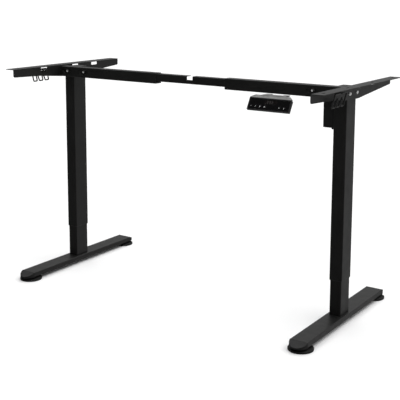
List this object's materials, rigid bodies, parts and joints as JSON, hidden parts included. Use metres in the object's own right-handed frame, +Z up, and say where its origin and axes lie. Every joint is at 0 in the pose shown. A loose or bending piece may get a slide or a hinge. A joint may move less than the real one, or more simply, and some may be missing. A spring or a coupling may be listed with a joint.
{
  "type": "height adjustable standing desk frame",
  "caption": "Electric two-leg desk frame without a tabletop: telescoping columns, sliding crossbar, side brackets, one motor with a cross rod, and a control panel.",
  "frame": {"origin": "middle of the whole frame's footprint, on the floor", "axes": "+X along the crossbar towards the motor's column, +Z up, the user sits on the -Y side"},
  "size_m": [1.321, 0.7645, 0.814],
  "materials": {
    "powder_coated_steel": "satin black powder coat, fine texture",
    "black_moulding": "fine-grained moulded black plastic",
    "leveller_rubber": "matte black, slightly grey on the rim",
    "zinc_screws": "bright zinc plate",
    "glide_plastic": "smooth black nylon",
    "nut_plastic": "natural white acetal",
    "machined_steel": "turned steel, lightly oiled",
    "bronze_wheel": "machined bronze",
    "cast_housing": "black painted die casting",
    "motor_steel": "grey painted steel",
    "coated_wire": "black coated wire",
    "panel_case_plastic": "fine-grained moulded black plastic",
    "panel_gloss": "gloss black",
    "display_tint": "dark tinted window",
    "pale_print": "pale grey printed marks on the buttons",
    "display_segments": "unlit display segments, faint dark grey",
    "button_plastic": "gloss black with pale marks"
  },
  "bodies": {
    "left_foot": {"left_foot_beam": "powder_coated_steel", "left_foot_end_caps": "black_moulding", "left_foot_screws": "zinc_screws", "left_inner_tube": "powder_coated_steel", "left_upper_glide": "glide_plastic", "left_spindle_nut": "nut_plastic"},
    "left_head": {"left_outer_tube": "powder_coated_steel", "left_lower_glide": "glide_plastic", "left_gearbox_housing": "cast_housing", "left_gearbox_cover": "cast_housing", "left_bearings": "machined_steel", "left_head_plate": "powder_coated_steel", "left_side_bracket": "powder_coated_steel", "left_bracket_screws": "zinc_screws", "left_outer_rail": "powder_coated_steel", "left_rail_screws": "zinc_screws", "left_cable_hook": "coated_wire"},
    "left_spindle": {"left_spindle": "machined_steel", "left_spindle_gear": "machined_steel"},
    "left_sleeve": {"left_pinion_gear": "machined_steel"},
    "crossbar": {"centre_rail": "powder_coated_steel"},
    "right_head": {"right_outer_tube": "powder_coated_steel", "right_lower_glide": "glide_plastic", "right_gearbox_housing": "cast_housing", "right_gearbox_cover": "cast_housing", "right_bearings": "machined_steel", "right_head_plate": "powder_coated_steel", "right_side_bracket": "powder_coated_steel", "right_bracket_screws": "zinc_screws", "right_outer_rail": "powder_coated_steel", "right_rail_screws": "zinc_screws", "right_cable_hook": "coated_wire", "motor_can": "motor_steel", "motor_gearbox": "cast_housing", "motor_cover": "black_moulding", "panel_case": "panel_case_plastic", "panel_face": "panel_gloss", "display_window": "display_tint"},
    "right_spindle": {"right_spindle": "machined_steel", "right_spindle_gear": "machined_steel"},
    "drive_rod": {"drive_rod": "machined_steel", "right_pinion_gear": "machined_steel", "worm_wheel": "bronze_wheel"},
    "motor_shaft": {"motor_worm": "machined_steel"},
    "right_foot": {"right_foot_beam": "powder_coated_steel", "right_foot_end_caps": "black_moulding", "right_foot_screws": "zinc_screws", "right_inner_tube": "powder_coated_steel", "right_upper_glide": "glide_plastic", "right_spindle_nut": "nut_plastic"},
    "left_front_leveller": {"left_front_leveller": "leveller_rubber"},
    "left_rear_leveller": {"left_rear_leveller": "leveller_rubber"},
    "right_front_leveller": {"right_front_leveller": "leveller_rubber"},
    "right_rear_leveller": {"right_rear_leveller": "leveller_rubber"},
    "button_one": {"button_one": "button_plastic"},
    "button_two": {"button_two": "button_plastic"},
    "button_three": {"button_three": "button_plastic"},
    "button_memory": {"button_memory": "button_plastic"},
    "button_up": {"button_up": "button_plastic"},
    "button_down": {"button_down": "button_plastic"}
  },
  "joints": [
    {"name": "lift", "type": "slide", "parent": "left_foot", "child": "left_head", "axis": [0, 0, 1], "range_m": [-0.11, 0.345]},
    {"name": "left_width", "type": "slide", "parent": "left_head", "child": "crossbar", "axis": [1, 0, 0], "range_m": [-0.14, 0.09]},
    {"name": "right_width", "type": "slide", "parent": "crossbar", "child": "right_head", "axis": [1, 0, 0], "range_m": [-0.14, 0.09]},
    {"name": "right_lift", "type": "slide", "parent": "right_head", "child": "right_foot", "axis": [0, 0, -1], "range_m": [-0.11, 0.345]},
    {"name": "left_spindle_turn", "type": "hinge", "parent": "left_head", "child": "left_spindle", "pos_m": [-0.588, 0.05075, 0.5], "axis": [0, 0, 1], "continuous": true},
    {"name": "right_spindle_turn", "type": "hinge", "parent": "right_head", "child": "right_spindle", "pos_m": [0.588, 0.05075, 0.5], "axis": [0, 0, 1], "continuous": true},
    {"name": "sleeve_turn", "type": "hinge", "parent": "left_head", "child": "left_sleeve", "pos_m": [-0.588, 0.05075, 0.78], "axis": [1, 0, 0], "continuous": true},
    {"name": "rod_turn", "type": "hinge", "parent": "right_head", "child": "drive_rod", "pos_m": [0.588, 0.05075, 0.78], "axis": [1, 0, 0], "continuous": true},
    {"name": "motor_turn", "type": "hinge", "parent": "right_head", "child": "motor_shaft", "pos_m": [0.542, 0.06275, 0.78], "axis": [0, 0, 1], "continuous": true},
    {"name": "left_front_leveller_screw", "type": "slide", "parent": "left_foot", "child": "left_front_leveller", "axis": [0, 0, -1], "range_m": [-0.001, 0.01]},
    {"name": "left_rear_leveller_screw", "type": "slide", "parent": "left_foot", "child": "left_rear_leveller", "axis": [0, 0, -1], "range_m": [-0.001, 0.01]},
    {"name": "right_front_leveller_screw", "type": "slide", "parent": "right_foot", "child": "right_front_leveller", "axis": [0, 0, -1], "range_m": [-0.001, 0.01]},
    {"name": "right_rear_leveller_screw", "type": "slide", "parent": "right_foot", "child": "right_rear_leveller", "axis": [0, 0, -1], "range_m": [-0.001, 0.01]},
    {"name": "button_one_press", "type": "slide", "parent": "right_head", "child": "button_one", "axis": [0, 0.8619, -0.507], "range_m": [0, 0.0006], "stiffness_N_per_m": 1500, "springref_m": -0.0004},
    {"name": "button_two_press", "type": "slide", "parent": "right_head", "child": "button_two", "axis": [0, 0.8619, -0.507], "range_m": [0, 0.0006], "stiffness_N_per_m": 1500, "springref_m": -0.0004},
    {"name": "button_three_press", "type": "slide", "parent": "right_head", "child": "button_three", "axis": [0, 0.8619, -0.507], "range_m": [0, 0.0006], "stiffness_N_per_m": 1500, "springref_m": -0.0004},
    {"name": "button_memory_press", "type": "slide", "parent": "right_head", "child": "button_memory", "axis": [0, 0.8619, -0.507], "range_m": [0, 0.0006], "stiffness_N_per_m": 1500, "springref_m": -0.0004},
    {"name": "button_up_press", "type": "slide", "parent": "right_head", "child": "button_up", "axis": [0, 0.8619, -0.507], "range_m": [0, 0.0006], "stiffness_N_per_m": 1500, "springref_m": -0.0004},
    {"name": "button_down_press", "type": "slide", "parent": "right_head", "child": "button_down", "axis": [0, 0.8619, -0.507], "range_m": [0, 0.0006], "stiffness_N_per_m": 1500, "springref_m": -0.0004}
  ],
  "couplings": [
    {"joint": "right_lift", "follows": "lift", "ratio": 1},
    {"joint": "left_spindle_turn", "follows": "lift", "rad_per_m": 1570.8},
    {"joint": "right_spindle_turn", "follows": "lift", "rad_per_m": -1570.8},
    {"joint": "sleeve_turn", "follows": "lift", "rad_per_m": 1570.8},
    {"joint": "rod_turn", "follows": "lift", "rad_per_m": 1570.8},
    {"joint": "motor_turn", "follows": "lift", "rad_per_m": -31416}
  ]
}
